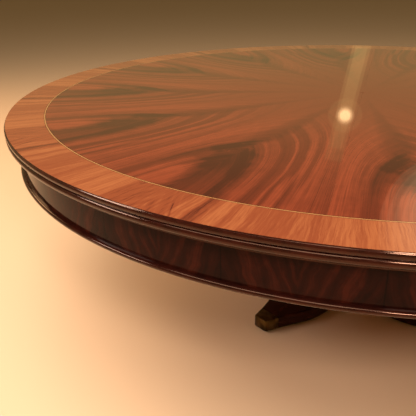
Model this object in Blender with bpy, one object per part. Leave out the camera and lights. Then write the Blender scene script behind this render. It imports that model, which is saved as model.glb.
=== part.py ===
"""Large round pedestal dining table: a veneered top with a hoop apron, on a turned column that
stands on a low platform of four shaped arms. Metres, +Z up; the origin is on the floor, under
the middle of the top."""

import math

import bmesh
import bpy
from mathutils import Matrix

# Driving dimensions
HEIGHT = 0.737
EDGE_RADIUS = 1.143  # outer edge of the flat, veneered surface
GAP = 0.0003  # clearance between pieces that touch
VENEER = 0.001
RING_STEPS = 96  # steps in a full turn of the top's rings
FIELD_LEAVES = 12
FIELD_JOINT = 267.7  # degrees, direction of one joint between two field leaves

# The top, outside to inside; depths are measured down from the table surface
STRING_RADIUS = 1.0329
STRING_WIDTH = 0.0050
MOULDING_DEPTH = 0.0400
MOULDING_INSIDE = 1.110
FILLET_BACK = 0.0107  # the lowest fillet stands this far back from the edge
FILLET_HEIGHT = 0.0040
BEAD_TOP = 0.0006
BEAD_PITCH = 0.0157
BEAD_PROUD = 0.0035
BEAD_SAGITTA = 0.0045
CORE_TOP = VENEER + GAP
UNDERSIDE = MOULDING_DEPTH + GAP + VENEER  # underside of the balance veneer

# The apron, a hoop hung under the top
APRON_DEPTH = 0.1397
APRON_FACE = 1.1063
APRON_INSIDE = 1.0700
APRON_BEAD_HEIGHT = 0.0120
APRON_BEAD_RADIUS = 1.1179
APRON_REBATE = 0.010
APRON_PIECES = 4

# Bearers and mounting block under the top
BEARER_X = 0.200
BEARER_WIDTH = 0.095
BEARER_LENGTH = 1.900
BEARER_THICKNESS = 0.036
BEARER_NOSE = 0.012  # thickness left at the ends
BEARER_SLOPE = 0.100
BLOCK_SIDE = 0.500
BLOCK_CORNER = 0.080
BLOCK_THICKNESS = 0.036
BEARER_SCREW_Y = 0.700
BLOCK_SCREW_Y = 0.165
SCREW_SINK = 0.002
BEARER_SCREW = 0.058
BLOCK_SCREW = 0.058
SCREW_HEAD = 0.0060
SCREW_SHANK = 0.0030
SCREW_TIP = 0.0008

# Column and tie rod
FOOT_RADIUS = 0.165
FOOT_HEIGHT = 0.036
FOOT_BATTER = 0.022  # how far the foot board's top stands back from its rim
FOOT_PROFILE = ((0.0, 0.0), (0.0, 0.014), (0.008, 0.018), (0.012, 0.028))
ROD_RADIUS = 0.008
ROD_HOLE = 0.0085
PLATE_RADIUS = 0.069
PLATE_THICKNESS = 0.005
PLATE_TOP = 0.0253
NUT_HEIGHT = 0.012
NUT_RADIUS = 0.0135
WASHER_RADIUS = 0.026
WASHER_THICKNESS = 0.003
ROD_PROUD = 0.0015  # how far the rod stands out of its nuts

# The column's turning; heights are measured up from its base
COLUMN_STEPS = 32
BASE_RING = 0.112  # radius to the middle of a ring's rounding
BASE_ROUND = 0.014
FILLET_RADIUS = 0.102
FILLET_TOP = 0.038
COVE = ((0.074, 0.052), (0.062, 0.078), (0.068, 0.096))
URN_LOW = 0.110
URN_TALL = 0.230
URN_NECK = 0.052
URN_SWELL = 0.066
NECK_LOW = 0.352
NECK_RING = 0.062
NECK_ROUND = 0.012
FLARE_LOW = 0.392
FLARE_SWELL = 0.046
CAP_RING = 0.104
CAP_ROUND = 0.014

# The platform's arms: (distance from the centre, half width, chamfer); the first two stations
# are the mitre between neighbours
ARM_ANGLES = (56.0, 146.0, 236.0, 326.0)
ARM_UNDER = 0.006
ARM_TOP = 0.050
ARM_MITRE = ((0.004, 0.0004), (0.108, 0.0004))
ARM_STATIONS = (
    (0.125, 0.0960, 0.004),
    (0.160, 0.0890, 0.006),
    (0.220, 0.0880, 0.006),
    (0.270, 0.0870, 0.006),
    (0.305, 0.0810, 0.006),
    (0.340, 0.0700, 0.006),
    (0.380, 0.0540, 0.006),
    (0.420, 0.0400, 0.006),
)
TIP_STATIONS = ((0.420, 0.0400), (0.455, 0.0310), (0.468, 0.0230))
TIP_CHAMFER = 0.006
CAP_WALL = 0.0018

# Levelling glides, screwed into sockets in the arms' tips
GLIDE_R = 0.442  # distance from the column's axis
GLIDE_PAD_RADIUS = 0.016
GLIDE_PAD = 0.0054
GLIDE_STEM = 0.004
GLIDE_STEM_TOP = 0.030
SOCKET_INNER = 0.0043
SOCKET_OUTER = 0.0062
SOCKET_TOP = 0.032


def depth(down):
    """Height of a point this far below the table surface."""
    return HEIGHT - down


CROTCH = ("crotch_mahogany", (0.33, 0.11, 0.05), 0.25, 0.0)
CROSSBAND = ("crossband_mahogany", (0.48, 0.18, 0.07), 0.25, 0.0)
SATINWOOD = ("satinwood", (0.72, 0.47, 0.22), 0.3, 0.0)
MAHOGANY = ("solid_mahogany", (0.13, 0.03, 0.016), 0.3, 0.0)
BOARD = ("core_board", (0.42, 0.28, 0.17), 0.7, 0.0)
BEARER_WOOD = ("bearer_wood", (0.30, 0.17, 0.09), 0.6, 0.0)
STEEL = ("zinc_steel", (0.55, 0.56, 0.58), 0.35, 1.0)
BRASS = ("antique_brass", (0.42, 0.30, 0.12), 0.3, 1.0)


def material(finish):
    """The Principled material of this finish, made on its first use."""
    name, colour, roughness, metallic = finish
    found = bpy.data.materials.get(name)
    if found:
        return found
    made = bpy.data.materials.new(name)
    made.use_nodes = True
    shader = made.node_tree.nodes["Principled BSDF"]
    shader.inputs["Base Color"].default_value = (*colour, 1.0)
    shader.inputs["Roughness"].default_value = roughness
    shader.inputs["Metallic"].default_value = metallic
    return made


def add_object(name, mesh, finish, angle=0.0):
    """Puts the mesh in the scene, turned by an angle in degrees about +Z."""
    mesh.shade_smooth()
    mesh.set_sharp_from_angle(angle=math.radians(35))
    if finish and not mesh.materials:
        mesh.materials.append(material(finish))
    made = bpy.data.objects.new(name, mesh)
    made.rotation_euler.z = math.radians(angle)
    bpy.context.scene.collection.objects.link(made)
    return made


def mesh_from(points, faces):
    """A mesh whose faces all point outwards."""
    mesh = bpy.data.meshes.new("shape")
    mesh.from_pydata(points, [], faces)
    work = bmesh.new()
    work.from_mesh(mesh)
    bmesh.ops.recalc_face_normals(work, faces=work.faces)
    work.to_mesh(mesh)
    work.free()
    return mesh


def loft(rings, closed=False):
    """A mesh through rings of points; the ends are capped unless the last ring meets the first."""
    count = len(rings[0])
    points = [point for ring in rings for point in ring]
    faces = []
    for i in range(len(rings) if closed else len(rings) - 1):
        here = i * count
        there = (i + 1) % len(rings) * count
        for j in range(count):
            k = (j + 1) % count
            faces.append((here + j, here + k, there + k, there + j))
    if not closed:
        faces.append(tuple(range(count)))
        faces.append(tuple(range(len(points) - count, len(points))))
    return mesh_from(points, faces)


def turned_ring(outline, first=0.0, sweep=360.0, steps=RING_STEPS):
    """Turns a closed outline of (radius, height) about +Z, through the whole turn or an arc."""
    whole = sweep >= 360.0
    rings = []
    for i in range(steps if whole else steps + 1):
        angle = math.radians(first + sweep * i / steps)
        rings.append([(r * math.cos(angle), r * math.sin(angle), z) for r, z in outline])
    return loft(rings, closed=whole)


def turned_solid(outline, steps):
    """Turns an open outline of (radius, height) about +Z into a solid with flat ends."""
    rings = []
    for r, z in outline:
        turns = [math.tau * i / steps for i in range(steps)]
        rings.append([(r * math.cos(a), r * math.sin(a), z) for a in turns])
    return loft(rings)


def arc(centre, radius, start, end, steps):
    """Points on an arc in the (radius, height) plane; angles in degrees from straight outwards."""
    turns = [math.radians(start + (end - start) * i / steps) for i in range(steps + 1)]
    return [(centre[0] + radius * math.cos(a), centre[1] + radius * math.sin(a)) for a in turns]


def cut(target, cutter):
    """Takes a hidden cutter away from the target."""
    cutter.hide_render = True
    cutter.display_type = "WIRE"
    change = target.modifiers.new(cutter.name, "BOOLEAN")
    change.operation = "DIFFERENCE"
    change.object = cutter


def bead(top, outer, height, steps=4):
    """A shallow convex bead down the edge from a depth of top; its middle reaches outer."""
    half = height / 2
    radius = (half**2 + BEAD_SAGITTA**2) / (2 * BEAD_SAGITTA)
    reach = math.degrees(math.asin(half / radius))
    return arc((outer - radius, depth(top + half)), radius, reach, -reach, steps)


# --- the top -------------------------------------------------------------------------------


def top_core():
    outer = MOULDING_INSIDE - GAP
    outline = [(outer, depth(MOULDING_DEPTH)), (outer, depth(CORE_TOP))]
    return add_object("top_core", turned_solid(outline, RING_STEPS), BOARD, FIELD_JOINT)


def balance_veneer():
    outer = APRON_FACE
    outline = [(outer, depth(UNDERSIDE)), (outer, depth(MOULDING_DEPTH + GAP))]
    return add_object("balance_veneer", turned_solid(outline, RING_STEPS), BOARD, FIELD_JOINT)


def field_leaf(index):
    """One pie-shaped leaf; its sides stand half a gap back from the two joints."""
    step = 360.0 / FIELD_LEAVES
    radius = STRING_RADIUS - STRING_WIDTH / 2 - GAP
    facets = RING_STEPS // FIELD_LEAVES
    back = GAP / 2
    half = math.radians(step / 2)
    corners = [(back / math.sin(half), 0.0)]
    for i in range(facets + 1):
        turn = -half + 2 * half * i / facets
        x, y = radius * math.cos(turn), radius * math.sin(turn)
        if i in (0, facets):
            side = 1 if i == 0 else -1
            x += back * math.sin(half)
            y += side * back * math.cos(half)
        corners.append((x, y))
    rings = [[(x, y, z) for x, y in corners] for z in (depth(VENEER), depth(0))]
    middle = FIELD_JOINT + step * (index + 0.5)
    return add_object(f"field_veneer_{index + 1:02d}", loft(rings), CROTCH, middle)


def flat_ring(name, inner, outer, finish):
    """A veneer ring flush with the table surface."""
    low, high = depth(VENEER), depth(0)
    outline = [(inner, low), (outer, low), (outer, high), (inner, high)]
    return add_object(name, turned_ring(outline), finish, FIELD_JOINT)


def edge_moulding():
    """Solid rim: two beads, then a hollow and a narrow fillet, set in under them."""
    fillet = EDGE_RADIUS - FILLET_BACK
    hollow = fillet - 0.0013
    outer = EDGE_RADIUS + BEAD_PROUD
    outline = [(EDGE_RADIUS, depth(CORE_TOP)), (EDGE_RADIUS, depth(BEAD_TOP))]
    outline += bead(BEAD_TOP, outer, BEAD_PITCH)[1:]
    outline += bead(BEAD_TOP + BEAD_PITCH + GAP, outer - BEAD_TOP, BEAD_PITCH)
    outline += [
        (hollow, depth(MOULDING_DEPTH - FILLET_HEIGHT - 0.001)),
        (fillet, depth(MOULDING_DEPTH - FILLET_HEIGHT)),
        (fillet, depth(MOULDING_DEPTH)),
        (MOULDING_INSIDE, depth(MOULDING_DEPTH)),
        (MOULDING_INSIDE, depth(CORE_TOP)),
    ]
    return add_object("edge_moulding", turned_ring(outline), MAHOGANY, FIELD_JOINT)


def apron_core(index):
    """One quarter of the hoop, rebated at its foot for the bead."""
    high, low = depth(UNDERSIDE + GAP), depth(APRON_DEPTH)
    rebate = depth(APRON_DEPTH - APRON_BEAD_HEIGHT - GAP)
    face = APRON_FACE - VENEER - GAP
    step = face - APRON_REBATE
    outline = [(APRON_INSIDE, low), (step, low), (step, rebate)]
    outline += [(face, rebate), (face, high), (APRON_INSIDE, high)]
    sweep = 360.0 / APRON_PIECES
    backoff = math.degrees(GAP / APRON_FACE)
    mesh = turned_ring(outline, backoff, sweep - 2 * backoff, RING_STEPS // APRON_PIECES)
    return add_object(f"apron_core_{index + 1}", mesh, BOARD, FIELD_JOINT + sweep * index)


def apron_veneer():
    high, low = depth(UNDERSIDE + GAP), depth(APRON_DEPTH - APRON_BEAD_HEIGHT - GAP)
    inner = APRON_FACE - VENEER
    outline = [(inner, low), (APRON_FACE, low), (APRON_FACE, high), (inner, high)]
    return add_object("apron_veneer", turned_ring(outline), CROTCH, FIELD_JOINT)


def apron_bead():
    """Half-round nose on a flat strip that sits in the hoop's rebate."""
    half = APRON_BEAD_HEIGHT / 2
    inner = APRON_FACE - VENEER - APRON_REBATE
    centre = (APRON_BEAD_RADIUS - half, depth(APRON_DEPTH - half))
    outline = [(inner, depth(APRON_DEPTH))] + arc(centre, half, -90, 90, 5)
    outline.append((inner, depth(APRON_DEPTH - APRON_BEAD_HEIGHT)))
    return add_object("apron_bead", turned_ring(outline), MAHOGANY, FIELD_JOINT)


# --- bearers, block and their screws -------------------------------------------------------


def screw_outline(length, extra=0.0):
    """A countersunk wood screw, head down, from its centre line; extra makes the hole for it."""
    head, shank = SCREW_HEAD + extra, SCREW_SHANK + extra
    below = 0.006 if extra else 0.0
    outline = [(head, -below), (head, 0.0006 + extra), (shank, 0.0042 + extra)]
    return outline + [(shank, length - 0.005), (SCREW_TIP + extra, length + extra)]


def screws_and_holes(prefix, length, places, z):
    """One screw at each place, and one hidden cutter with all their holes."""
    mesh = turned_solid(screw_outline(length), 8)
    for i, (x, y) in enumerate(places):
        screw = add_object(f"{prefix}_{i + 1}", mesh, STEEL)
        screw.location = (x, y, z)
    work = bmesh.new()
    hole = turned_solid(screw_outline(length, GAP), 8)
    for x, y in places:
        hole.transform(Matrix.Translation((x, y, z)))
        work.from_mesh(hole)
        hole.transform(Matrix.Translation((-x, -y, -z)))
    holes = bpy.data.meshes.new(f"{prefix}_holes")
    work.to_mesh(holes)
    work.free()
    return add_object(f"{prefix}_holes", holes, STEEL)


def bearer(name, x):
    """A long flat cleat, its lower ends bevelled off."""
    high = depth(UNDERSIDE + GAP)
    low, nose = high - BEARER_THICKNESS, high - BEARER_NOSE
    half = BEARER_LENGTH / 2
    inner = half - BEARER_SLOPE
    side = [(-half, high), (-half, nose), (-inner, low), (inner, low), (half, nose), (half, high)]
    rings = [[(x + s * BEARER_WIDTH / 2, y, z) for y, z in side] for s in (-1, 1)]
    return add_object(name, loft(rings), BEARER_WOOD)


def mounting_block():
    """A thick square board with its corners cut off, under the two bearers."""
    high = depth(UNDERSIDE + GAP) - BEARER_THICKNESS - GAP
    half = BLOCK_SIDE / 2
    plan = []
    for sx, sy in ((1, 1), (-1, 1), (-1, -1), (1, -1)):
        pair = [(sx * half, sy * (half - BLOCK_CORNER)), (sx * (half - BLOCK_CORNER), sy * half)]
        plan += pair if sx == sy else pair[::-1]
    rings = [[(x, y, z) for x, y in plan] for z in (high - BLOCK_THICKNESS, high)]
    return add_object("mounting_block", loft(rings), BEARER_WOOD)


# --- column and tie rod --------------------------------------------------------------------


def column_foot():
    """Round moulded board between the column and the platform."""
    low = ARM_TOP + GAP
    high = low + FOOT_HEIGHT
    outline = [(ROD_HOLE, low)]
    outline += [(FOOT_RADIUS - back, low + height) for back, height in FOOT_PROFILE]
    outline += [(FOOT_RADIUS - FOOT_BATTER, high), (ROD_HOLE, high)]
    return add_object("column_foot", turned_ring(outline, steps=COLUMN_STEPS), MAHOGANY)


def column(top):
    """Turned shaft, bored for the tie rod: a base ring, an urn, a neck ring and a flared cap."""
    base = ARM_TOP + 2 * GAP + FOOT_HEIGHT
    cap = top - CAP_ROUND - 0.002
    outline = [(ROD_HOLE, base), (BASE_RING + 0.004, base)]
    outline += arc((BASE_RING, base + BASE_ROUND), BASE_ROUND, -80, 80, 3)
    outline += [(FILLET_RADIUS, base + 2 * BASE_ROUND + 0.001), (FILLET_RADIUS, base + FILLET_TOP)]
    outline += [(radius, base + height) for radius, height in COVE]
    for i in range(9):
        t = i / 8
        swell = math.sin(math.pi * min(t * 1.15 + 0.14, 1.0)) ** 0.85
        outline.append((URN_NECK + URN_SWELL * swell, base + URN_LOW + t * URN_TALL))
    outline += arc((NECK_RING, base + NECK_LOW + NECK_ROUND), NECK_ROUND, -80, 80, 3)
    outline.append((URN_NECK + 0.002, base + NECK_LOW + 2 * NECK_ROUND + 0.004))
    rise = cap - CAP_ROUND - 0.002 - base - FLARE_LOW
    for i in range(5):
        t = i / 4
        outline.append((URN_NECK + FLARE_SWELL * t**2.2, base + FLARE_LOW + t * rise))
    outline += arc((CAP_RING, cap), CAP_ROUND, -90, 90, 3)
    outline += [(CAP_RING, top), (ROD_HOLE, top)]
    return add_object("column", turned_ring(outline, steps=COLUMN_STEPS), MAHOGANY)


def washer(name, low, radius, thickness):
    high = low + thickness
    outline = [(ROD_HOLE, low), (radius, low), (radius, high), (ROD_HOLE, high)]
    return add_object(name, turned_ring(outline, steps=24), STEEL)


def nut(name, low):
    """A hexagon nut; its bore is a twelve-sided hole round the rod."""
    blank = [(NUT_RADIUS, low), (NUT_RADIUS, low + NUT_HEIGHT)]
    made = add_object(name, turned_solid(blank, 6), STEEL)
    bore = [(ROD_HOLE, low - 0.005), (ROD_HOLE, low + NUT_HEIGHT + 0.005)]
    cut(made, add_object(f"{name}_bore", turned_solid(bore, 12), STEEL))
    return made


# --- platform arms, toe caps, glides -------------------------------------------------------


def section(x, half, chamfer, low=ARM_UNDER, high=ARM_TOP):
    """Eight points round an upright section of an arm that lies along +X."""
    inner = half - chamfer
    right = [(inner, low), (half, low + chamfer), (half, high - chamfer), (inner, high)]
    points = right + [(-y, z) for y, z in reversed(right)]
    return [(x, y, z) for y, z in points]


def tip_sections(inset):
    """The arm's tip, drawn in by inset at its sides, top, underside and end."""
    low, high = ARM_UNDER + inset, ARM_TOP - inset
    ends = [0.0] * (len(TIP_STATIONS) - 1) + [inset]
    rows = zip(TIP_STATIONS, ends)
    return [section(x - end, half - inset, TIP_CHAMFER, low, high) for (x, half), end in rows]


def arm_mesh():
    """Mitred at 45 degrees where it meets its neighbours; reduced inside the toe cap."""
    mitre = [section(x, x - GAP, chamfer) for x, chamfer in ARM_MITRE]
    body = [section(*station) for station in ARM_STATIONS]
    return loft(mitre + body + tip_sections(CAP_WALL + GAP))


def cap_mesh():
    first, half = TIP_STATIONS[0]
    return loft([section(first + GAP, half, TIP_CHAMFER)] + tip_sections(0.0)[1:])


def cap_hollow():
    """The space inside the toe cap, run out past the cap's mouth."""
    x, half = TIP_STATIONS[0]
    inner, high = half - CAP_WALL, ARM_TOP - CAP_WALL
    mouth = section(x - 0.006, inner, TIP_CHAMFER, ARM_UNDER + CAP_WALL, high)
    return loft([mouth] + tip_sections(CAP_WALL))


def upright(radius, low, high):
    """A hidden cutter's cylinder at the glide's place, before the arm is turned."""
    mesh = turned_solid([(radius, low), (radius, high)], 12)
    mesh.transform(Matrix.Translation((GLIDE_R, 0, 0)))
    return mesh


def socket_mesh():
    low = ARM_UNDER + CAP_WALL + 2 * GAP
    outline = [(SOCKET_INNER, low), (SOCKET_OUTER, low)]
    outline += [(SOCKET_OUTER, SOCKET_TOP), (SOCKET_INNER, SOCKET_TOP)]
    mesh = turned_ring(outline, steps=12)
    mesh.transform(Matrix.Translation((GLIDE_R, 0, 0)))
    return mesh


def glide_mesh():
    pad = GLIDE_PAD_RADIUS
    outline = [(pad - 0.0015, 0.0), (pad, 0.0015), (pad, GLIDE_PAD - 0.001)]
    outline += [(pad - 0.002, GLIDE_PAD), (GLIDE_STEM, GLIDE_PAD), (GLIDE_STEM, GLIDE_STEM_TOP)]
    return turned_solid(outline, 12)


def build_top():
    core = top_core()
    balance = balance_veneer()
    for i in range(FIELD_LEAVES):
        field_leaf(i)
    string_in = STRING_RADIUS - STRING_WIDTH / 2
    string_out = STRING_RADIUS + STRING_WIDTH / 2
    flat_ring("string_inlay", string_in, string_out, SATINWOOD)
    flat_ring("crossband_border", string_out + GAP, EDGE_RADIUS - GAP, CROSSBAND)
    edge_moulding()
    for i in range(APRON_PIECES):
        apron_core(i)
    apron_veneer()
    apron_bead()
    return core, balance


def build_bearers(core, balance):
    """Bearers and block, and the screws that hold them to each other and to the top."""
    bearers = [bearer("bearer_left", -BEARER_X), bearer("bearer_right", BEARER_X)]
    block = mounting_block()
    bearer_low = depth(UNDERSIDE + GAP) - BEARER_THICKNESS
    block_low = bearer_low - GAP - BLOCK_THICKNESS
    corners = ((-1, -1), (1, -1), (1, 1), (-1, 1))
    places = [(sx * BEARER_X, sy * BEARER_SCREW_Y) for sx, sy in corners]
    top_holes = screws_and_holes("bearer_screw", BEARER_SCREW, places, bearer_low + SCREW_SINK)
    places = [(sx * BEARER_X, sy * BLOCK_SCREW_Y) for sx, sy in corners]
    block_holes = screws_and_holes("block_screw", BLOCK_SCREW, places, block_low + SCREW_SINK)
    for piece in (core, balance, *bearers):
        cut(piece, top_holes)
    for piece in (block, *bearers):
        cut(piece, block_holes)
    bore = [(ROD_HOLE, block_low - 0.01), (ROD_HOLE, bearer_low + 0.01)]
    cut(block, add_object("block_bore", turned_solid(bore, 12), STEEL))
    return block_low, bearer_low - GAP


def build_pedestal(block_low, block_high):
    """Column, its foot and the base plate, pulled together by the tie rod."""
    column_foot()
    column(block_low - GAP)
    washer("tie_washer_upper", block_high + GAP, WASHER_RADIUS, WASHER_THICKNESS)
    nut_high = block_high + 2 * GAP + WASHER_THICKNESS
    nut("tie_nut_upper", nut_high)
    plate_low = PLATE_TOP - PLATE_THICKNESS
    washer("base_plate", plate_low, PLATE_RADIUS, PLATE_THICKNESS)
    nut_low = plate_low - GAP - NUT_HEIGHT
    nut("tie_nut_lower", nut_low)
    rod = [(ROD_RADIUS, nut_low - ROD_PROUD), (ROD_RADIUS, nut_high + NUT_HEIGHT + ROD_PROUD)]
    add_object("tie_rod", turned_solid(rod, 12), STEEL)


def build_platform():
    """Four arms with their caps, sockets and glides; each mesh is shared by the four copies."""
    arms, caps, sockets, glides = arm_mesh(), cap_mesh(), socket_mesh(), glide_mesh()
    hollow = cap_hollow()
    hole = upright(SOCKET_OUTER + GAP, ARM_UNDER - 0.01, SOCKET_TOP + GAP)
    pocket, pocket_top = PLATE_RADIUS + GAP, PLATE_TOP + GAP
    bore = [(pocket, ARM_UNDER - 0.01), (pocket, pocket_top)]
    bore += [(ROD_HOLE, pocket_top), (ROD_HOLE, ARM_TOP + 0.01)]
    middle = add_object("base_bore", turned_solid(bore, 24), STEEL)
    for i, angle in enumerate(ARM_ANGLES):
        n = i + 1
        arm = add_object(f"platform_arm_{n}", arms, MAHOGANY, angle)
        cap = add_object(f"toe_cap_{n}", caps, BRASS, angle)
        cut(cap, add_object(f"cap_hollow_{n}", hollow, BRASS, angle))
        drill = add_object(f"socket_hole_{n}", hole, STEEL, angle)
        cut(arm, middle)
        cut(arm, drill)
        cut(cap, drill)
        add_object(f"glide_socket_{n}", sockets, STEEL, angle)
        glide = add_object(f"levelling_glide_{n}", glides, STEEL, angle)
        turn = math.radians(angle)
        glide.location = (GLIDE_R * math.cos(turn), GLIDE_R * math.sin(turn), 0.0)


def main():
    for old in list(bpy.data.objects):
        bpy.data.objects.remove(old)
    core, balance = build_top()
    block_low, block_high = build_bearers(core, balance)
    build_pedestal(block_low, block_high)
    build_platform()


main()
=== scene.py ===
"""Looks of the round pedestal table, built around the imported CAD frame. Metres, +Z up."""

import math

import bmesh
import bpy
from mathutils import Matrix, Quaternion, Vector

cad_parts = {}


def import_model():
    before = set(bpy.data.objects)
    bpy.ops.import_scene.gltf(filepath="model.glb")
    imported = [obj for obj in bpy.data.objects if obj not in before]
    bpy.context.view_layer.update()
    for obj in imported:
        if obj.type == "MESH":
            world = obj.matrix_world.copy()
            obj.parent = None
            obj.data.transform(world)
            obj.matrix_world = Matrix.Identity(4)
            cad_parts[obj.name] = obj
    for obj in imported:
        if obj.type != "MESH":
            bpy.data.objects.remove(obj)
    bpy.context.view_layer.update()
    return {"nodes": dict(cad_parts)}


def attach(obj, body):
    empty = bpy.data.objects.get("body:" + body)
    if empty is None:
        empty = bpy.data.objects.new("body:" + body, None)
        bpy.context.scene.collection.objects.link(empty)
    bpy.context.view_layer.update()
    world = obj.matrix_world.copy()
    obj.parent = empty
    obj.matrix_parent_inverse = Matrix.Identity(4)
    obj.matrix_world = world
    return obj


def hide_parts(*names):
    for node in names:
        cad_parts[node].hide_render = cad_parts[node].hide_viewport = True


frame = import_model()

# The sizes and places below are the CAD part's own.
HEIGHT = 0.737
EDGE = 1.143  # outer edge of the flat veneered surface
TURN = 267.7  # degrees, direction of one joint between two field leaves
LEAVES = 12
LEAF = 360.0 / LEAVES  # degrees, one field leaf
STRING = 1.0329  # middle of the string line
STRING_WIDTH = 0.0050
VENEER = 0.001
MOULDING_DEPTH = 0.0400  # the solid rim, below the surface
MOULDING_INSIDE = 1.110
BEAD_HEIGHT = 0.0157
BEAD_PROUD = 0.0035  # the upper bead stands this far out of the edge
APRON_TOP = 0.0426  # depths below the surface
APRON_FOOT = 0.1397
APRON_FACE = 1.1063
APRON_INSIDE = 1.070
NOSING = 0.0120  # the half-round at the apron's foot
NOSING_OUT = 1.1179
ROD_BORE = 0.0085
FOOT_LOW, FOOT_HIGH = 0.0503, 0.0863
COLUMN_LOW, COLUMN_HIGH = 0.0866, 0.6228
ARM_LOW, ARM_HIGH = 0.006, 0.050
ARM_ANGLES = (56.0, 146.0, 236.0, 326.0)
ARRIS = 0.006  # radius of an arm's rounded edges
ARM_PLAN = (  # distance from the axis, half width
    (0.108, 0.1076), (0.125, 0.0960), (0.160, 0.0890), (0.220, 0.0880), (0.270, 0.0870),
    (0.305, 0.0810), (0.340, 0.0700), (0.380, 0.0540), (0.420, 0.0400), (0.455, 0.0310))
CAP_START = 0.420
CAP_WALL = 0.0018
GLIDE = 0.442  # distance of the glides from the column's axis
GLIDE_HOLE = (0.0065, 0.0323)  # radius, height of its upper end
PLATE_POCKET = (0.0693, 0.0256)

GAP = 0.0003  # between touching meshes
SEAM = 0.0002  # beside the thin lines of the top and the hoop's joints
STEPS = 360  # steps in a full turn of the top's rings
ROUND_STEPS = 160  # and of the column
SPINE = 12.0  # degrees from a leaf's first joint to the spine of its feather

FIELD_LIGHT = (139, 64, 41)
FIELD_MIDDLE = (101, 45, 29)
FIELD_DARK = (66, 31, 21)
BORDER_LIGHT = (161, 95, 59)
BORDER_MIDDLE = (134, 68, 42)
BORDER_DARK = (92, 42, 28)
APRON_LIGHT = (67, 26, 16)
APRON_MIDDLE = (39, 14, 9)
APRON_DARK = (26, 10, 7)
JOINT_DARK = (10, 5, 4)
LACQUER = {"coat": 1.0, "coat_roughness": 0.035, "specular": 0.0}  # glossy, over matt colour

EYE = (0.0, -1.9537, 1.1503)  # where the camera stands
ROOM_LOW = (164, 141, 90)  # the room a little above the table, as the top mirrors it


def depth(down):
    """Height of a point this far below the table surface."""
    return HEIGHT - down


# --- node trees written as expressions -------------------------------------------------------


class Value:
    """A number or a socket in a node tree; arithmetic on it adds math nodes."""

    def __init__(self, tree, source):
        self.tree = tree
        self.source = source

    def __add__(self, other):
        return self.tree.math("ADD", self, other)

    __radd__ = __add__

    def __sub__(self, other):
        return self.tree.math("SUBTRACT", self, other)

    def __rsub__(self, other):
        return self.tree.math("SUBTRACT", other, self)

    def __mul__(self, other):
        return self.tree.math("MULTIPLY", self, other)

    __rmul__ = __mul__

    def __truediv__(self, other):
        return self.tree.math("DIVIDE", self, other)

    def abs(self):
        return self.tree.math("ABSOLUTE", self)


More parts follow.
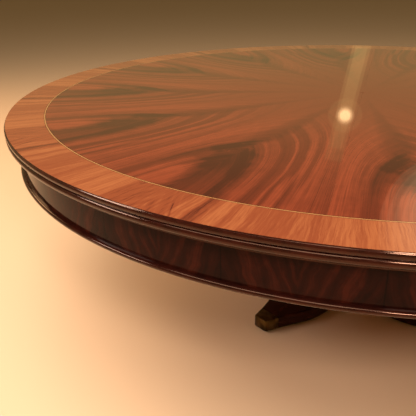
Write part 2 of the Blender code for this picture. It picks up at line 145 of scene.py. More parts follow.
class Tree:
    """A material with a Principled shader, and the few kinds of node its colour is made from."""

    def __init__(self, name):
        self.material = bpy.data.materials.new(name)
        self.material.use_nodes = True
        self.nodes = self.material.node_tree.nodes
        self.links = self.material.node_tree.links
        self.shader = self.nodes["Principled BSDF"]

    def put(self, socket, value):
        if isinstance(value, Value):
            self.links.new(value.source, socket)
        else:
            socket.default_value = value

    def node(self, kind, **settings):
        made = self.nodes.new(kind)
        for key, value in settings.items():
            setattr(made, key, value)
        return made

    def math(self, operation, *values):
        made = self.node("ShaderNodeMath", operation=operation)
        for i, value in enumerate(values):
            self.put(made.inputs[i], value)
        return Value(self, made.outputs[0])

    def smooth(self, value, low, high):
        """0 below low, 1 above high, smooth between; the other way round if low is above high."""
        made = self.node("ShaderNodeMapRange", interpolation_type="SMOOTHSTEP")
        for key, given in (("Value", value), ("From Min", low), ("From Max", high)):
            self.put(made.inputs[key], given)
        return Value(self, made.outputs[0])

    def uv(self, name):
        """The two numbers that a mesh's map holds."""
        made = self.node("ShaderNodeUVMap", uv_map=name)
        split = self.node("ShaderNodeSeparateXYZ")
        self.links.new(made.outputs[0], split.inputs[0])
        return Value(self, split.outputs[0]), Value(self, split.outputs[1])

    def place(self):
        """x, y and z in the table's frame; the objects sit at its origin."""
        made = self.node("ShaderNodeTexCoord")
        split = self.node("ShaderNodeSeparateXYZ")
        self.links.new(made.outputs["Object"], split.inputs[0])
        return [Value(self, split.outputs[i]) for i in range(3)]

    def noise(self, x, y, z=0.0, scale=1.0, detail=2.0, roughness=0.5, distortion=0.0):
        """Noise with a mean of 0.5 at the point (x, y, z) times scale."""
        join = self.node("ShaderNodeCombineXYZ")
        for i, value in enumerate((x, y, z)):
            self.put(join.inputs[i], value)
        made = self.node("ShaderNodeTexNoise")
        self.links.new(join.outputs[0], made.inputs["Vector"])
        made.inputs["Scale"].default_value = scale
        made.inputs["Detail"].default_value = detail
        made.inputs["Roughness"].default_value = roughness
        made.inputs["Distortion"].default_value = distortion
        return Value(self, made.outputs["Fac"])

    def profile(self, value, low, high, points):
        """A number that follows a smooth line through the points (value, result)."""
        scaled = self.math("DIVIDE", self.math("SUBTRACT", value, low), high - low)
        made = self.node("ShaderNodeValToRGB")
        made.color_ramp.interpolation = "EASE"
        self.links.new(scaled.source, made.inputs[0])
        stops = made.color_ramp.elements
        while len(stops) < len(points):
            stops.new(0.5)
        for stop, (at, level) in zip(stops, points):
            stop.position = (at - low) / (high - low)
            stop.color = (level, level, level, 1.0)
        split = self.node("ShaderNodeSeparateColor")
        self.links.new(made.outputs[0], split.inputs[0])
        return Value(self, split.outputs[0])

    def mix(self, factor, low, high):
        """A colour between low and high; each is a colour written in sRGB or another mix."""
        made = self.node("ShaderNodeMix", data_type="RGBA")
        self.put(made.inputs[0], factor)
        for socket, colour in ((made.inputs[6], low), (made.inputs[7], high)):
            self.put(socket, colour if isinstance(colour, Value) else linear(colour))
        return Value(self, made.outputs[2])

    def bump(self, height, distance):
        made = self.node("ShaderNodeBump")
        made.inputs["Distance"].default_value = distance
        self.put(made.inputs["Height"], height)
        return Value(self, made.outputs[0])

    def finish(self, colour, roughness, metallic=0.0, coat=0.0, coat_roughness=0.05, coat_ior=1.5,
               specular=0.5, tint=(255, 255, 255), normal=None):
        """Sets the shader and gives back the material."""
        solid_colour = colour if isinstance(colour, Value) else linear(colour)
        self.put(self.shader.inputs["Base Color"], solid_colour)
        self.shader.inputs["Specular IOR Level"].default_value = specular
        self.shader.inputs["Specular Tint"].default_value = linear(tint)
        self.put(self.shader.inputs["Roughness"], roughness)
        self.shader.inputs["Metallic"].default_value = metallic
        self.shader.inputs["Coat Weight"].default_value = coat
        self.shader.inputs["Coat Roughness"].default_value = coat_roughness
        self.shader.inputs["Coat IOR"].default_value = coat_ior
        if normal:
            self.put(self.shader.inputs["Normal"], normal)
        return self.material


def linear(colour):
    """The scene-linear colour of an sRGB colour given as three numbers up to 255."""
    levels = [c / 255 for c in colour]
    return (*(c / 12.92 if c <= 0.04045 else ((c + 0.055) / 1.055) ** 2.4 for c in levels), 1.0)


# --- materials -------------------------------------------------------------------------------


def polar(tree):
    """Radius, the angle in degrees from the joint of the leaf it falls in, and the whole angle."""
    x, y, _ = tree.place()
    radius = tree.math("SQRT", x * x + y * y)
    angle = tree.math("ARCTAN2", y, x) * (180 / math.pi)
    return radius, tree.math("FLOORED_MODULO", angle - TURN, LEAF), angle


def field_material():
    """Feather-figured crotch mahogany: streaks that leave the rim along the grain and bend in
    to each leaf's spine, and a soft dark mass along the spine with a ragged outline.
    The higher the figure, the darker the wood. Streaks are placed in degrees across a leaf,
    the sides of the mass in shares of the leaf's width over shares of the edge's radius."""
    t = Tree("crotch_field")
    grain, _ = t.uv("grain")
    across, out = t.uv("place")
    grain = grain * LEAF
    wander = t.noise(across * 12, out * 9, detail=2) - 0.5
    line = grain + wander * 0.6
    rim = t.profile(line, -6.0, 36.0, (
        (-6.0, 0.30), (0.0, 0.22), (1.8, 0.26), (2.2, 0.40), (2.7, 0.24), (3.6, 0.52), (4.6, 0.48),
        (5.4, 0.16), (6.0, 0.34), (6.8, 0.16), (9.0, 0.20), (10.0, 0.34), (16.6, 0.22), (17.1, 0.52),
        (18.4, 0.52), (19.4, 0.26), (20.4, 0.22), (21.0, 0.60), (22.0, 0.52), (22.6, 0.20), (23.0, 0.58),
        (23.6, 0.24), (24.3, 0.24), (24.8, 0.56), (25.5, 0.26), (28.0, 0.34), (31.5, 0.38), (36.0, 0.32)))
    inner = t.profile(line, -6.0, 36.0, (
        (-6.0, 0.40), (-1.0, 0.22), (1.2, 0.20), (2.4, 0.34), (3.2, 0.24), (3.9, 0.66), (4.8, 0.60),
        (5.4, 0.30), (6.2, 0.60), (7.6, 0.48), (9.0, 0.44), (15.0, 0.44), (17.4, 0.60), (18.8, 0.46),
        (19.5, 0.30), (20.5, 0.28), (21.2, 0.58), (22.2, 0.48), (22.7, 0.20), (23.2, 0.50), (24.0, 0.56),
        (24.5, 0.22), (25.0, 0.18), (25.9, 0.44), (26.6, 0.24), (29.0, 0.34), (31.0, 0.24), (36.0, 0.44)))
    inward = t.smooth(out + wander * 0.10, 0.84, 0.72)
    streaks = rim + (inner - rim) * inward
    spine = t.smooth((across * LEAF - SPINE).abs(), 0.0, 2.2)
    streaks = (streaks - 0.42) * (spine * 0.75 + 0.25) + 0.42
    left = t.profile(out, 0.2, 0.92, (
        (0.20, 0.30), (0.48, 0.27), (0.55, 0.29), (0.60, 0.28), (0.645, 0.23), (0.67, 0.22),
        (0.70, 0.27), (0.737, 0.26), (0.76, 0.31), (0.80, 0.35), (0.88, 0.38), (0.92, 0.30)))
    right = t.profile(out, 0.2, 0.92, (
        (0.20, 0.46), (0.48, 0.50), (0.55, 0.46), (0.60, 0.40), (0.645, 0.47), (0.67, 0.53),
        (0.70, 0.53), (0.737, 0.57), (0.80, 0.59), (0.92, 0.61)))
    ragged = (t.noise(across * 24, out * 20, 5.0, detail=3, roughness=0.6) - 0.5) * 0.09
    mass = t.smooth(across + ragged - left, -0.055, 0.060)
    mass = mass * t.smooth(right - across + ragged, -0.040, 0.050)
    islands = t.noise(across * 20, out * 42, 9.0, detail=3, roughness=0.55)
    mass = mass * (1.0 - t.smooth(islands, 0.58, 0.72) * t.smooth((out - 0.66).abs(), 0.09, 0.03) * 0.8)
    mass = mass * t.profile(out, 0.0, 1.0, (
        (0.0, 0.0), (0.20, 0.12), (0.48, 0.36), (0.60, 0.58),
        (0.66, 0.85), (0.76, 1.0), (0.84, 0.9), (1.0, 0.6)))
    _, y, _ = t.place()
    mass = mass * (1.0 - t.smooth(y, -0.4, 0.5) * 0.4)
    fine = t.noise(grain * 3.2, out * 2.0, detail=4, roughness=0.65) - 0.5
    hair = t.noise(grain * 11.0, out * 7.0, detail=3, roughness=0.7) - 0.5
    roe = t.noise(across * 16, out * 26, detail=3, roughness=0.55) - 0.5
    fade = t.smooth(out, 0.15, 0.66)
    figure = (streaks - 0.32) * (fade * 1.08 + 0.10) + 0.33
    mass = mass * (0.86 + fine * 0.9 + hair * 0.5)
    figure = figure + mass * 0.58 + (fine * 0.72 + hair * 0.55 + roe * 0.24) * (fade * 0.7 + 0.3)
    colour = t.mix(t.smooth(figure, 0.0, 0.50), FIELD_LIGHT, FIELD_MIDDLE)
    colour = t.mix(t.smooth(figure, 0.42, 1.05), colour, FIELD_DARK)
    return t.finish(colour, 0.5, **LACQUER)


def border_material():
    """Crossbanding: light and dark stripes along the radius, placed in degrees across a piece of
    it, with nested arches and a short crack in each piece."""
    t = Tree("crossband")
    radius, across, _ = polar(t)
    inside = 0.906  # where the border starts, as a share of the edge's radius
    out = (radius / EDGE - inside) / (1 - inside)
    wander = t.noise(across * 0.4, out * 1.2, detail=3) - 0.5
    arch = t.smooth(across, 7.4, 9.0) * t.smooth(across, 17.2, 16.0)
    peak = (across - 12.9).abs() + (1.0 - out) * 2.6 * arch
    line = across + wander * 0.8
    stripes = t.profile(line, 0.0, 30.0, (
        (0.0, 0.40), (1.0, 0.25), (2.4, 0.14), (3.2, 0.36), (3.9, 0.20), (6.0, 0.14), (7.6, 0.22),
        (8.2, 0.66), (9.6, 0.60), (12.5, 0.54), (15.6, 0.60), (16.3, 0.28), (17.4, 0.26), (17.9, 0.88),
        (18.7, 0.84), (19.2, 0.34), (20.3, 0.08), (20.9, 0.14), (21.4, 0.56), (22.0, 0.20), (22.6, 0.12),
        (23.2, 0.50), (24.0, 0.46), (26.0, 0.54), (27.4, 0.38), (28.6, 0.32), (29.4, 0.56), (30.0, 0.40)))
    nested = t.noise(peak * 1.3, 3.0, detail=3, roughness=0.6) - 0.5
    crack = t.smooth((peak - 3.55).abs(), 0.16, 0.0) * t.smooth(across, 12.9, 13.6) * arch
    crack = crack * t.smooth(out, 0.38, 0.62)
    fine = t.noise(line * 3.4, out * 0.8, detail=4, roughness=0.65) - 0.5
    hair = t.noise(line * 12.0, out * 2.2, detail=3, roughness=0.7) - 0.5
    figure = stripes + nested * arch * 1.2 + fine * 1.3 + hair + crack * 0.5
    colour = t.mix(t.smooth(figure, -0.05, 0.55), BORDER_LIGHT, BORDER_MIDDLE)
    colour = t.mix(t.smooth(figure, 0.55, 1.1), colour, BORDER_DARK)
    return t.finish(colour, 0.5, **LACQUER)


def string_material():
    """Boxwood line between two thin dark ones."""
    t = Tree("string_line")
    radius, _, _ = polar(t)
    side = t.smooth((radius - STRING).abs(), 0.0010, 0.0017)
    x, y, _ = t.place()
    tint = t.noise(x, y, scale=36.0)
    wood = t.mix(tint, (190, 140, 90), (166, 118, 74))
    return t.finish(t.mix(side, wood, (64, 32, 22)), 0.45, **LACQUER)


def apron_material():
    """Dark crotch veneer in panels of half a leaf; in each, streaks fan out from the middle of the
    foot. The higher the figure, the darker the wood."""
    t = Tree("crotch_apron")
    _, _, angle = polar(t)
    _, _, z = t.place()
    first, panel = 258.5, LEAF / 2  # degrees
    tall = 0.087
    across = t.math("FLOORED_MODULO", angle - first, panel) - panel / 2
    down = (depth(MOULDING_DEPTH) - z) / tall
    wander = t.noise(angle * 0.30, down * 1.2, detail=2) - 0.5
    side = (across + wander * 1.8).abs()
    flow = side + down * (down * 0.9 + 0.5)
    figure = t.profile(flow, 0.0, 12.0, (
        (0.0, 0.55), (0.5, 0.80), (0.9, 0.35), (1.35, 0.80), (1.8, 0.38), (2.6, 0.60),
        (3.3, 0.34), (4.0, 0.62), (4.7, 0.45), (5.3, 0.20), (5.9, 0.26), (6.4, 0.80),
        (7.0, 0.95), (7.6, 0.62), (8.2, 0.95), (12.0, 0.9)))
    joint = t.smooth(across.abs(), panel / 2 - 0.10, panel / 2 - 0.03)
    fine = t.noise(flow * 3.0, down * 0.7, across / 40, detail=4, roughness=0.65) - 0.5
    roe = t.noise(across * 0.7, down * 2.2, detail=3) - 0.5
    figure = figure * 0.75 + fine * 0.9 + roe * 0.6 + 0.12
    colour = t.mix(t.smooth(figure, 0.0, 0.55), APRON_LIGHT, APRON_MIDDLE)
    colour = t.mix(t.smooth(figure, 0.45, 1.0), colour, APRON_DARK)
    colour = t.mix(joint * 0.7, colour, JOINT_DARK)
    return t.finish(colour, 0.5, coat=1.0, coat_roughness=0.08, coat_ior=1.15, specular=0.0)


def mahogany_material():
    """Solid mahogany, stained dark, its grain round the rim or up the column."""
    t = Tree("solid_mahogany_dark")
    _, _, z = t.place()
    radius, _, angle = polar(t)
    streak = t.noise(radius * 54, angle * 0.5, z * 40, detail=4, roughness=0.6)
    pores = t.noise(radius * 600, angle * 2.0, z * 400, detail=2)
    figure = streak * 0.7 + pores * 0.3
    colour = t.mix(t.smooth(figure, 0.3, 0.7), (50, 17, 11), (28, 10, 7))
    return t.finish(colour, 0.12, specular=0.42, tint=(255, 204, 176))


def arm_material():
    """The same wood, its grain along the arm."""
    t = Tree("arm_mahogany")
    along, over = t.uv("grain")
    streak = t.noise(along * 6, over * 70, detail=5, roughness=0.6, distortion=0.5)
    pores = t.noise(along * 60, over * 900, detail=2)
    colour = t.mix(t.smooth(streak * 0.75 + pores * 0.25, 0.32, 0.68), (50, 20, 12), (24, 10, 7))
    return t.finish(colour, 0.20, specular=0.30, tint=(255, 170, 135))


def plain_wood(name, light, dark, roughness, stretch):
    """Unpolished secondary wood, its grain along one axis."""
    t = Tree(name)
    x, y, z = t.place()
    point = x * stretch[0], y * stretch[1], z * stretch[2]
    streak = t.noise(*point, detail=5, roughness=0.6, distortion=0.4)
    pores = t.noise(*point, scale=7, detail=2)
    colour = t.mix(t.smooth(streak * 0.7 + pores * 0.3, 0.3, 0.7), light, dark)
    return t.finish(colour, roughness, normal=t.bump(pores, 0.0002))


def metal(name, light, dark, roughness, scale):
    """Clouded metal whose roughness varies a little."""
    t = Tree(name)
    x, y, z = t.place()
    cloud = t.noise(x, y, z, scale=scale, detail=4)
    rough = t.noise(x, y, z, scale=scale * 4, detail=3) * 0.16 + (roughness - 0.08)
    return t.finish(t.mix(t.smooth(cloud, 0.3, 0.7), light, dark), rough, metallic=1.0)


FIELD_VENEER = field_material()
BORDER_VENEER = border_material()
STRING_LINE = string_material()
APRON_VENEER = apron_material()
MAHOGANY = mahogany_material()
ARM_WOOD = arm_material()
BOARD = plain_wood("core_board_raw", (176, 140, 102), (142, 106, 74), 0.75, (14, 60, 60))
BEARER = plain_wood("bearer_raw", (140, 98, 62), (104, 68, 42), 0.65, (70, 9, 70))
BALANCE = plain_wood("balance_raw", (128, 84, 54), (98, 62, 40), 0.6, (60, 8, 60))
BRASS = metal("aged_brass", (112, 88, 50), (62, 48, 27), 0.36, 40)
STEEL = metal("zinc_steel_cloudy", (176, 178, 182), (130, 132, 136), 0.34, 90)


# --- meshes ----------------------------------------------------------------------------------


def closed_mesh(name, points, faces):
    """A mesh whose faces point outwards."""
    mesh = bpy.data.meshes.new(name)
    mesh.from_pydata(points, [], faces)
    work = bmesh.new()
    work.from_mesh(mesh)
    bmesh.ops.recalc_face_normals(work, faces=work.faces)
    work.to_mesh(mesh)
    work.free()
    return mesh


def piece(name, points, faces, material, nodes, slot, body="table"):
    """A mesh object that stands for these CAD nodes and rides on a body."""
    mesh = closed_mesh(name, points, faces)
    mesh.shade_smooth()
    mesh.set_sharp_from_angle(angle=math.radians(32))
    mesh.materials.append(material)
    made = bpy.data.objects.new(name, mesh)
    bpy.context.scene.collection.objects.link(made)
    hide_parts(*nodes)
    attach(made, body)
    return made


def loft(rings, closed=False):
    """Points and faces through rings; the ends are capped unless the last meets the first."""
    count = len(rings[0])
    points = [point for ring in rings for point in ring]
    faces = []
    for i in range(len(rings) if closed else len(rings) - 1):
        here, there = i * count, (i + 1) % len(rings) * count
        for j in range(count):
            k = (j + 1) % count
            faces.append((here + j, here + k, there + k, there + j))
    if not closed:
        faces.append(tuple(range(count)))
        faces.append(tuple(range(len(points) - count, len(points))))
    return points, faces


def ring(outline, first=0.0, sweep=360.0, steps=STEPS):
    """Turns a closed outline of (radius, height) about +Z."""
    whole = sweep >= 360.0
    rings = []
    for i in range(steps if whole else steps + 1):
        a = math.radians(first + sweep * i / steps)
        rings.append([(r * math.cos(a), r * math.sin(a), z) for r, z in outline])
    return loft(rings, closed=whole)


def solid(outline, steps):
    """Turns an open outline of (radius, height) about +Z into a solid with flat ends."""
    turns = [math.tau * i / steps for i in range(steps)]
    return loft([[(r * math.cos(a), r * math.sin(a), z) for a in turns] for r, z in outline])


def arc(centre, radius, start, end, steps):
    """Points on an arc in the (radius, height) plane; angles in degrees from straight outwards."""
    turns = [math.radians(start + (end - start) * i / steps) for i in range(steps + 1)]
    return [(centre[0] + radius * math.cos(a), centre[1] + radius * math.sin(a)) for a in turns]


def moved(shape, angle=0.0, offset=(0, 0, 0)):
    """The shape turned about +Z and then moved."""
    change = Matrix.Translation(offset) @ Matrix.Rotation(math.radians(angle), 4, "Z")
    return [tuple(change @ Vector(p)) for p in shape[0]], shape[1]


def grain_line(away, radius):
    """The streak through a point: its distance in degrees from the spine where it leaves the rim.
    A streak starts on the spine at a radius that falls with that distance, and bends away. Radii
    are shares of the edge's; the distance is found by halving a range."""
    start, fall = (0.82, 0.0333) if away > 0 else (0.98, 0.050)
    low = max(abs(away), (start - radius) / fall)
    high = low + 60.0
    for _ in range(40):
        middle = (low + high) / 2
        reach = middle * (1 - math.exp(-(radius - start + fall * middle) / 0.08))
        if reach < abs(away):
            low = middle
        else:
            high = middle
    return math.copysign(low, away)


def leaf_shape(first):
    """Points and faces of a pie-shaped leaf, and for each point its degrees across the leaf and
    its share of the edge's radius."""
    edge = STRING - STRING_WIDTH / 2 - SEAM
    back = 0.00012  # each side is drawn in by this much
    near = 0.0006  # radius of the leaf's point
    columns = [SPINE * i / 20 for i in range(20)]
    columns += [SPINE + (LEAF - SPINE) * i / 30 for i in range(31)]
    rows = [(i / 48) ** 0.8 for i in range(1, 49)]
    wide, tall = len(columns), len(rows)
    points = []
    maps = []
    for row in rows:
        for turn in columns:
            r = row * edge
            a = math.radians(first + turn)
            inward = {0.0: back, LEAF: -back}.get(turn, 0.0)
            x = r * math.cos(a) - inward * math.sin(a)
            y = r * math.sin(a) + inward * math.cos(a)
            points.append((x, y, HEIGHT))
            maps.append((turn, r / EDGE))
    a = math.radians(first + LEAF / 2)
    tip = len(points)
    points.append((near * math.cos(a), near * math.sin(a), HEIGHT))
    maps.append((LEAF / 2, 0.0))
    faces = [(tip, j, j + 1) for j in range(wide - 1)]
    for i in range(tall - 1):
        for j in range(wide - 1):
            here = i * wide + j
            faces.append((here, here + wide, here + wide + 1, here + 1))
    rim = [tip] + [i * wide for i in range(tall)]
    rim += [(tall - 1) * wide + j for j in range(1, wide)]
    rim += [i * wide + wide - 1 for i in range(tall - 2, -1, -1)]
    low = len(points)
    for k in rim:
        x, y, _ = points[k]
        points.append((x, y, depth(VENEER)))
        maps.append(maps[k])
    for k in range(len(rim)):
        n = (k + 1) % len(rim)
        faces.append((rim[k], low + k, low + n, rim[n]))
    faces.append(tuple(range(low, low + len(rim))))
    return points, faces, maps


def field_leaf(number):
    """One leaf; its two maps hold the grain line and the place in the leaf. On the spine itself
    the line of a corner is that of the side its face is on."""
    points, faces, maps = leaf_shape(TURN + LEAF * (number - 1))
    nodes = [f"field_veneer_{number:02d}"]
    mesh = piece(f"leaf_{number:02d}", points, faces, FIELD_VENEER, nodes, "crotch_veneer").data
    lines = {}
    grain = mesh.uv_layers.new(name="grain")
    place = mesh.uv_layers.new(name="place")
    for face in mesh.polygons:
        middle = sum(maps[v][0] for v in face.vertices) / len(face.vertices)
        side = 1 if middle > SPINE else -1
        for corner in face.loop_indices:
            v = mesh.loops[corner].vertex_index
            turn, share = maps[v]
            key = (v, side)
            if key not in lines:
                away = side * max(side * (turn - SPINE), 0.001)
                lines[key] = SPINE + grain_line(away, share)
            grain.data[corner].uv = (lines[key] / LEAF, share)
            place.data[corner].uv = (turn / LEAF, share)


def bead(top, outer):
    """A shallow convex bead that starts at a depth; its middle reaches the radius outer."""
    rise = 0.0045
    half = BEAD_HEIGHT / 2
    radius = (half**2 + rise**2) / (2 * rise)
    reach = math.degrees(math.asin(half / radius))
    return arc((outer - radius, depth(top + half)), radius, reach, -reach, 12)


def slab(inner, outer, low, high):
    """Section of a plain ring."""
    return [(inner, low), (outer, low), (outer, high), (inner, high)]


def build_top():
    """The leaves, the string, the border and the solid rim with its two beads and fillet."""
    for number in range(1, LEAVES + 1):
        field_leaf(number)
    half = STRING_WIDTH / 2
    line = slab(STRING - half, STRING + half, depth(VENEER), depth(0))
    piece("string_line", *ring(line), STRING_LINE, ["string_inlay"], "string")
    band = slab(STRING + half + SEAM, EDGE - GAP, depth(VENEER), depth(0))
    piece("crossband", *ring(band), BORDER_VENEER, ["crossband_border"], "crossband")
    upper, lower = 0.0006, 0.0167  # depths at which the beads start
    outer = EDGE + BEAD_PROUD
    fillet = EDGE - 0.0107
    quirk = fillet - 0.0016
    core = depth(VENEER + GAP)
    outline = [(EDGE, core), (EDGE, depth(upper))]
    outline += bead(upper, outer)[1:]
    outline += bead(lower, outer - 0.0006)
    outline += [(quirk, depth(0.0329)), (quirk, depth(0.0350)), (fillet, depth(0.0358))]
    outline += [(fillet, depth(MOULDING_DEPTH)), (MOULDING_INSIDE, depth(MOULDING_DEPTH))]
    outline.append((MOULDING_INSIDE, core))
    piece("rim_moulding", *ring(outline), MAHOGANY, ["edge_moulding"], "mahogany")


def build_apron():
    """The veneered face, the half-round under it and the four cores of the hoop."""
    high, low, foot = depth(APRON_TOP), depth(APRON_FOOT - NOSING - GAP), depth(APRON_FOOT)
    back = APRON_FACE - VENEER
    outline = slab(back, APRON_FACE, low, high)
    piece("apron_face", *ring(outline), APRON_VENEER, ["apron_veneer"], "crotch_veneer")
    half = NOSING / 2
    rebate = APRON_FACE - 0.011
    outline = [(rebate, foot)] + arc((NOSING_OUT - half, depth(APRON_FOOT - half)), half, -90, 90, 16)
    outline.append((rebate, depth(APRON_FOOT - NOSING)))
    piece("apron_nosing", *ring(outline), MAHOGANY, ["apron_bead"], "mahogany")
    outer = back - GAP
    step = outer - 0.010
    outline = [(APRON_INSIDE, foot), (step, foot), (step, low)]
    outline += [(outer, low), (outer, high), (APRON_INSIDE, high)]
    gap = math.degrees(SEAM / APRON_FACE)
    for i in range(4):
        shape = ring(outline, first=TURN + 90 * i + gap, sweep=90 - 2 * gap, steps=90)
        piece(f"apron_hoop_{i + 1}", *shape, BOARD, [f"apron_core_{i + 1}"], "core_board")


def hole(radius, top, steps):
    """A round cutter that rises from under the floor."""
    return solid([(radius, -0.01), (radius, top)], steps)


def curve(points, steps=8):
    """A smooth curve through points in a plane."""
    made = []
    for i in range(len(points) - 1):
        a, b, c, d = (points[max(0, min(len(points) - 1, i + k))] for k in (-1, 0, 1, 2))
        for j in range(steps):
            u = j / steps
            made.append(tuple(
                0.5 * (2 * b[n] + (c[n] - a[n]) * u + (2 * a[n] - 5 * b[n] + 4 * c[n] - d[n]) * u**2
                       + (3 * b[n] - a[n] - 3 * c[n] + d[n]) * u**3) for n in (0, 1)))
    return made + [tuple(points[-1])]


def build_foot_board():
    """The round moulded board that the column stands on."""
    low, high = FOOT_LOW, FOOT_HIGH
    outline = [(ROD_BORE, low), (0.1640, low)] + arc((0.1575, low + 0.0075), 0.0075, -80, 80, 10)
    outline += [(0.1550, low + 0.0165), (0.1550, low + 0.0180)]
    outline += curve([(0.1535, low + 0.0190), (0.1510, low + 0.0270), (0.1440, low + 0.0340)])
    outline += [(0.1430, high), (ROD_BORE, high)]
    piece("foot_board", *ring(outline, steps=ROUND_STEPS), MAHOGANY, ["column_foot"], "mahogany")


def build_column():
    """The turned shaft with its base, urn, neck ring and flared cap."""
    base, top = COLUMN_LOW, COLUMN_HIGH
    neck = base + 0.352
    outline = [(ROD_BORE, base), (0.116, base)] + arc((0.112, base + 0.014), 0.014, -80, 80, 14)
    outline += [(0.102, base + 0.029), (0.102, base + 0.038)]
    lower = [(0.100, base + 0.039), (0.080, base + 0.048), (0.066, base + 0.066), (0.064, base + 0.084)]
    outline += curve(lower) + [(0.068, base + 0.092), (0.068, base + 0.098)]
    for i in range(41):
        u = i / 40
        swell = math.sin(math.pi * min(u * 1.15 + 0.14, 1.0)) ** 0.85
        outline.append((0.052 + 0.066 * swell, base + 0.110 + u * 0.230))
    outline += arc((0.062, neck + 0.012), 0.012, -80, 80, 12)
    outline.append((0.054, neck + 0.026))
    for i in range(17):
        u = i / 16
        outline.append((0.052 + 0.046 * u**2.2, neck + 0.040 + u * (top - 0.072 - neck)))
    outline += arc((0.104, top - 0.016), 0.014, -90, 90, 14)
    outline += [(0.104, top), (ROD_BORE, top)]
    piece("turned_column", *ring(outline, steps=ROUND_STEPS), MAHOGANY, ["column"], "mahogany")


def arm_section(x, half, radius=ARRIS, low=ARM_LOW, high=ARM_HIGH):
    """An upright section across an arm that lies along +X, its four arrises rounded."""
    side, lower, upper = half - radius, low + radius, high - radius
    corners = ((side, lower, -90), (side, upper, 0), (-side, upper, 90), (-side, lower, 180))
    points = []
    for y, z, start in corners:
        points += [(x, b, c) for b, c in arc((y, z), radius, start, start + 90, 5)]
    return points


def tip_sections(inset):
    """The last part of an arm, drawn in by inset all round; its end is rounded in plan."""
    low, high = ARM_LOW + inset, ARM_HIGH - inset
    end, end_half, reach = 0.456, 0.0302, 0.012
    rows = []
    for x, half in curve([(CAP_START, 0.0400), (0.440, 0.0352), (end, end_half)], 3):
        rows.append(arm_section(x, half - inset, ARRIS, low, high))
    for i in range(1, 5):
        a = math.radians(20 * i)
        pull = 0.006 * (1 - math.cos(a))
        x = end + (reach - inset) * math.sin(a)
        half = end_half - 1.4 * pull - inset
        rows.append(arm_section(x, half, ARRIS, low + pull / 2, high - pull / 2))
    return rows


def cut_away(shape, cutters):
    """The shape less the cutters, as points and faces."""
    held = []
    for points, faces in [shape] + cutters:
        made = bpy.data.objects.new("work", closed_mesh("work", points, faces))
        bpy.context.scene.collection.objects.link(made)
        held.append(made)
    for tool in held[1:]:
        change = held[0].modifiers.new("cut", "BOOLEAN")
        change.operation = "DIFFERENCE"
        change.solver = "EXACT"
        change.object = tool
    done = held[0].evaluated_get(bpy.context.evaluated_depsgraph_get()).to_mesh()
    result = [tuple(v.co) for v in done.vertices], [tuple(f.vertices) for f in done.polygons]
    for made in held:
        bpy.data.objects.remove(made)
    return result


def arm_shape(drill):
    """One arm along +X, with the hole of its glide, and a quarter of the rod's bore and of the
    pocket under the platform."""
    start, _ = ARM_PLAN[0]
    rows = [arm_section(0.004, 0.0037, 0.0003)]  # the mitred point
    for x, half in curve(ARM_PLAN[:-1], 6):
        grown = min(1.0, max(0.0, (x - start) / 0.02))
        rows.append(arm_section(x, half, 0.0004 + (ARRIS - 0.0004) * grown))
    cutters = [drill, hole(*PLATE_POCKET, 96), hole(ROD_BORE, 0.08, 48)]
    return cut_away(loft(rows + tip_sections(CAP_WALL + GAP)), cutters)


def cap_shape(drill):
    """The hollow cap that is pushed over an arm's tip."""
    _, half = ARM_PLAN[-2]
    low, high = ARM_LOW + CAP_WALL, ARM_HIGH - CAP_WALL
    mouth = arm_section(CAP_START - 0.006, half - CAP_WALL, ARRIS, low, high)
    shell = [arm_section(CAP_START + GAP, half)] + tip_sections(0.0)[1:]
    return cut_away(loft(shell), [loft([mouth] + tip_sections(CAP_WALL)), drill])


def glide_outline():
    """Section of a levelling glide: its pad, and its stem with rings for the thread."""
    root, crest, pitch = 0.0034, 0.0040, 0.00125
    outline = [(0.0140, 0.0)] + arc((0.0145, 0.0015), 0.0015, -90, 0, 4) + [(0.0160, 0.0040)]
    outline += [(0.0148, 0.0052), (0.0140, 0.0054), (0.0038, 0.0054)]
    for i in range(19):
        outline += [(crest, 0.0062 + i * pitch), (root, 0.0068 + i * pitch)]
    return outline


def build_platform():
    """Four arms mitred together in the middle, each with a brass cap and a glide at its tip. An
    arm's map runs along the arm and, round its section, across the grain."""
    drill = moved(hole(*GLIDE_HOLE, 32), offset=(GLIDE, 0, 0))
    arm = arm_shape(drill)
    cap = cap_shape(drill)
    glide = solid(glide_outline(), 48)
    for n, angle in enumerate(ARM_ANGLES, 1):
        mesh = piece(f"arm_{n}", *moved(arm, angle), ARM_WOOD, [f"platform_arm_{n}"], "mahogany").data
        grain = mesh.uv_layers.new(name="grain")
        for loop in mesh.loops:
            x, y, z = arm[0][loop.vertex_index]
            grain.data[loop.index].uv = (x, y + z * 1.7 + n * 0.37)
        piece(f"cap_{n}", *moved(cap, angle), BRASS, [f"toe_cap_{n}"], "brass")
        turn = math.radians(angle)
        foot = moved(glide, offset=(GLIDE * math.cos(turn), GLIDE * math.sin(turn), 0))
        piece(f"glide_foot_{n}", *foot, STEEL, [f"levelling_glide_{n}"], "steel", f"glide_{n}")


def show_cad(names, material):
    """CAD nodes shown as they are, with a finer material."""
    for name in names:
        node = frame["nodes"][name]
        node.data.materials.clear()
        node.data.materials.append(material)


build_top()
build_apron()
build_foot_board()
build_column()
build_platform()
numbers = (1, 2, 3, 4)
show_cad(["top_core"], BOARD)
show_cad(["balance_veneer"], BALANCE)
show_cad(["bearer_left", "bearer_right", "mounting_block"], BEARER)
show_cad([f"{kind}_screw_{n}" for kind in ("bearer", "block") for n in numbers], STEEL)
show_cad(["base_plate", "tie_nut_lower", "tie_nut_upper", "tie_rod", "tie_washer_upper"], STEEL)
show_cad([f"glide_socket_{n}" for n in numbers], STEEL)


# --- floor, light, camera --------------------------------------------------------------------


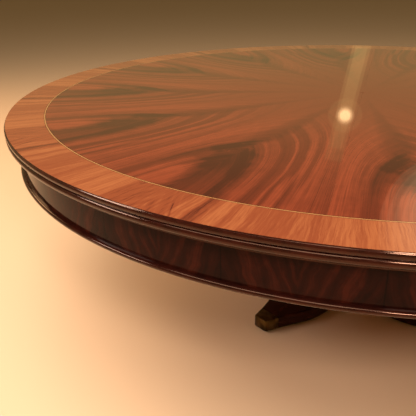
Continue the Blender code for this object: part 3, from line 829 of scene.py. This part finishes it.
def floor():
    """A plain pale floor, just under the glides."""
    size = 30.0
    corners = [(x * size, y * size, 0) for x, y in ((-1, -1), (1, -1), (1, 1), (-1, 1))]
    mesh = bpy.data.meshes.new("floor")
    mesh.from_pydata(corners, [], [(0, 1, 2, 3)])
    made = bpy.data.objects.new("floor", mesh)
    made.location.z = -0.0002
    t = Tree("floor_pale")
    mesh.materials.append(t.finish((228, 197, 164), 0.7))
    bpy.context.scene.collection.objects.link(made)


def lamp(name, place, target, size, power, colour, shape="RECTANGLE", roll=0.0):
    """An area light at place that faces target."""
    data = bpy.data.lights.new(name, "AREA")
    data.shape = shape
    data.size, data.size_y = size
    data.energy = power
    data.color = linear(colour)[:3]
    made = bpy.data.objects.new(name, data)
    facing = (Vector(target) - Vector(place)).to_track_quat("-Z", "Y")
    made.rotation_mode = "QUATERNION"
    made.rotation_quaternion = facing @ Quaternion((0, 0, 1), math.radians(roll))
    made.location = place
    bpy.context.scene.collection.objects.link(made)


def across_top(turn, rise, far=8.2):
    """A place this far from the camera over the top, turned left by degrees. The top mirrors it
    at an angle of rise; with no rise it is on the top itself."""
    a, e = math.radians(turn), math.radians(rise)
    x, y, z = EYE
    above = far * math.tan(e) - (z - HEIGHT) if rise else 0.0
    return x - far * math.sin(a), y + far * math.cos(a), HEIGHT + above


TOP_SPOT = across_top(0, 0, 1.4)  # the place on the top that the mirrored lights face


def table_lamp(turn, rise):
    """A lamp that the top mirrors: discs that add up to one with a soft edge."""
    for i, (wide, power) in enumerate(((0.26, 0.07), (0.205, 0.12), (0.15, 0.10))):
        place = across_top(turn, rise, 8.2 - 0.03 * i)
        lamp(f"table_lamp_{i + 1}", place, TOP_SPOT, (wide, wide), power, (255, 208, 150), "DISK")


def haze(name, turn, rise, size, glow, count, colour, shape="ELLIPSE", roll=0.0):
    """A soft-edged glow mirrored in the top: a few panels that add up to it, each smaller."""
    for i in range(count):
        share = 1.0 - 0.7 * i / count
        wide, tall = size[0] * share, size[1] * (0.4 + 0.6 * share)
        power = glow / count * math.pi * wide * tall
        place = across_top(turn, rise, 8.6 - 0.03 * i)
        lamp(f"{name}_{i + 1}", place, TOP_SPOT, (wide, tall), power, colour, shape, roll)


def world():
    """Pale for the camera; for everything else a warm room, brightest a little above the table."""
    made = bpy.data.worlds.new("room")
    bpy.context.scene.world = made
    made.use_nodes = True
    tree = made.node_tree
    shade = tree.nodes["Background"]
    path = tree.nodes.new("ShaderNodeLightPath")
    ray = tree.nodes.new("ShaderNodeTexCoord")
    split = tree.nodes.new("ShaderNodeSeparateXYZ")
    ramp = tree.nodes.new("ShaderNodeValToRGB")
    tree.links.new(ray.outputs["Generated"], split.inputs[0])
    tree.links.new(split.outputs[2], ramp.inputs[0])
    stops = ramp.color_ramp.elements
    stops[0].position, stops[0].color = 0.0, linear((150, 132, 90))
    stops[1].position, stops[1].color = 1.0, linear((90, 76, 56))
    for height, colour in ((0.17, ROOM_LOW), (0.26, (160, 136, 86)), (0.40, (98, 80, 52))):
        stop = stops.new(height)
        stop.color = linear(colour)
    mix = tree.nodes.new("ShaderNodeMix")
    mix.data_type = "RGBA"
    tree.links.new(ramp.outputs[0], mix.inputs[6])
    mix.inputs[7].default_value = linear((236, 224, 208))
    tree.links.new(path.outputs["Is Camera Ray"], mix.inputs[0])
    tree.links.new(mix.outputs[2], shade.inputs["Color"])
    shade.inputs["Strength"].default_value = 1.0


def camera():
    """Stands by the edge, just above it, looking down along the rim."""
    yaw, pitch, roll = -0.2722, 0.4142, -0.0164  # radians
    level = Vector((math.cos(yaw), -math.sin(yaw), 0.0))
    forward = Vector((math.sin(yaw), math.cos(yaw), 0.0))
    ahead = math.cos(pitch) * forward - math.sin(pitch) * Vector((0.0, 0.0, 1.0))
    up = level.cross(ahead)
    right = math.cos(roll) * level + math.sin(roll) * up
    up = math.cos(roll) * up - math.sin(roll) * level
    data = bpy.data.cameras.new("camera")
    data.lens = 48.72
    data.clip_start = 0.01
    made = bpy.data.objects.new("camera", data)
    turn = Matrix((right, up, -ahead)).transposed().to_4x4()
    made.matrix_world = Matrix.Translation(EYE) @ turn
    bpy.context.scene.collection.objects.link(made)
    bpy.context.scene.camera = made


floor()
world()
lamp("overhead", (-1.0, -2.0, 5.0), (0, 0, 0.7), (4.0, 4.0), 335, (255, 240, 220))
lamp("front_right", (0.80, -3.15, 2.45), (0.3, -1.1, 0.65), (0.5, 0.5), 56, (255, 230, 212))
lamp("window", (-3.15, -1.75, 2.25), (-0.75, -0.85, 0.65), (1.2, 0.5), 40, (255, 238, 226))
lamp("left_back", (-3.4, 1.2, 2.6), (-1.8, 0.3, 0.0), (1.4, 1.4), 52, (255, 202, 144))
table_lamp(1.5, 14.2)
haze("right_haze", -9.4, 24.0, (1.95, 2.30), 1.10, 6, (255, 212, 160))
haze("lamp_streak", 1.3, 12.6, (0.26, 1.90), 0.26, 2, (255, 214, 130), "RECTANGLE", -9.5)
haze("lamp_glow", 1.5, 14.2, (0.50, 0.50), 0.08, 1, (255, 214, 130))
camera()
bpy.context.scene.view_settings.view_transform = "Standard"
